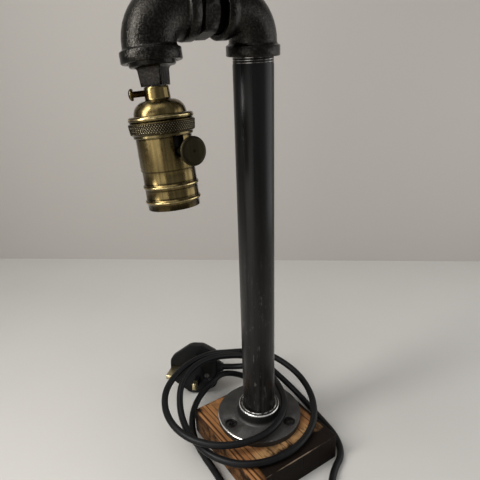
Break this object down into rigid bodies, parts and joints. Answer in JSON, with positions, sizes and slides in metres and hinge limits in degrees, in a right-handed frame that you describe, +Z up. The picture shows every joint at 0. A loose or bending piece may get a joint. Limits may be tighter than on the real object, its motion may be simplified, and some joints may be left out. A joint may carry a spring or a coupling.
{
  "type": "pipe table lamp",
  "caption": "Table lamp of dark pipe fittings on a square wood block, with a swinging arm, a tilting brass lampholder with a rotary key switch, and a coiled flex with a fused plug.",
  "frame": {"origin": "riser axis on the plane of the block's underside, where the lamp stands", "axes": "+Z up along the riser, +X the way the arm reaches, +Y towards the block's deeper side; the block's edges lie along X and Y"},
  "size_m": [0.1526, 0.2103, 0.3643],
  "materials": {
    "block_wood": "oiled, worn, charred edges",
    "strip_fibre": "matt",
    "flange_iron": "satin, worn bright at the edges",
    "pipe_steel": "semi-gloss black",
    "elbow_iron": "dark, grainy, waxed",
    "nipple_iron": "dark, waxed",
    "screw_steel": "darkened",
    "plug_iron": "dark, waxed",
    "tube_steel": "zinc plated",
    "brass_body": "antiqued",
    "brass_ring": "antiqued, knurled",
    "brass_key": "antiqued, turned",
    "brass_bright": "bright",
    "liner_card": "waxed card",
    "core_ceramic": "dark brown glazed porcelain, opaque",
    "flex_black": "satin",
    "rubber_black": "matt",
    "plug_black": "moulded",
    "cam_plastic": "moulded",
    "pin_brass": "bright",
    "fuse_ceramic": "opaque"
  },
  "bodies": {
    "stand": {"base_block": "block_wood", "channel_cover": "strip_fibre", "floor_flange": "flange_iron", "flange_screws": "screw_steel", "riser_pipe": "pipe_steel", "exit_sleeve": "rubber_black", "riser_flex": "flex_black", "flex_floor_turn": "flex_black", "flex_first_turn": "flex_black", "flex_second_turn": "flex_black", "plug_base": "plug_black", "plug_cover": "plug_black", "earth_pin": "pin_brass", "line_pin": "pin_brass", "neutral_pin": "pin_brass", "pin_sleeves": "plug_black", "plug_fuse": "fuse_ceramic", "fuse_clips": "pin_brass", "cord_grip": "plug_black", "flex_guard": "rubber_black", "cover_screw": "screw_steel"},
    "arm": {"upper_elbow": "elbow_iron", "hex_nipple": "nipple_iron", "arm_flex": "flex_black"},
    "drop": {"drop_elbow": "elbow_iron", "square_head_plug": "plug_iron", "threaded_tube": "tube_steel", "tube_lock_nut": "tube_steel", "head_flex": "flex_black"},
    "holder": {"holder_cap": "brass_body", "knurled_ring": "brass_ring", "holder_shell": "brass_body", "insulating_liner": "liner_card", "ceramic_core": "core_ceramic", "screw_shell": "brass_bright", "centre_contact": "brass_bright", "terminal_screws": "brass_bright", "switch_blades": "brass_bright"},
    "lock_screw": {"neck_lock_screw": "brass_key"},
    "key": {"switch_key": "brass_key", "switch_cam": "cam_plastic"}
  },
  "joints": [
    {"name": "arm_swivel", "type": "hinge", "parent": "stand", "child": "arm", "pos_m": [0, 0, 0.347], "axis": [0, 0, 1], "range_deg": [-90, 90]},
    {"name": "head_tilt", "type": "hinge", "parent": "arm", "child": "drop", "pos_m": [0.0716, 0, 0.347], "axis": [1, 0, 0], "range_deg": [-45, 45]},
    {"name": "holder_turn", "type": "hinge", "parent": "drop", "child": "holder", "pos_m": [0.0716, 0.00422, 0.32033], "axis": [0, 0.1564, -0.9877], "range_deg": [-170, 170]},
    {"name": "lock_screw_turn", "type": "hinge", "parent": "holder", "child": "lock_screw", "pos_m": [0.08026, 0.00177, 0.30385], "axis": [0.866, -0.4938, -0.0782], "continuous": true},
    {"name": "switch_turn", "type": "hinge", "parent": "holder", "child": "key", "pos_m": [0.06979, 0.03156, 0.27505], "axis": [-0.0906, 0.9836, 0.1558], "continuous": true}
  ]
}
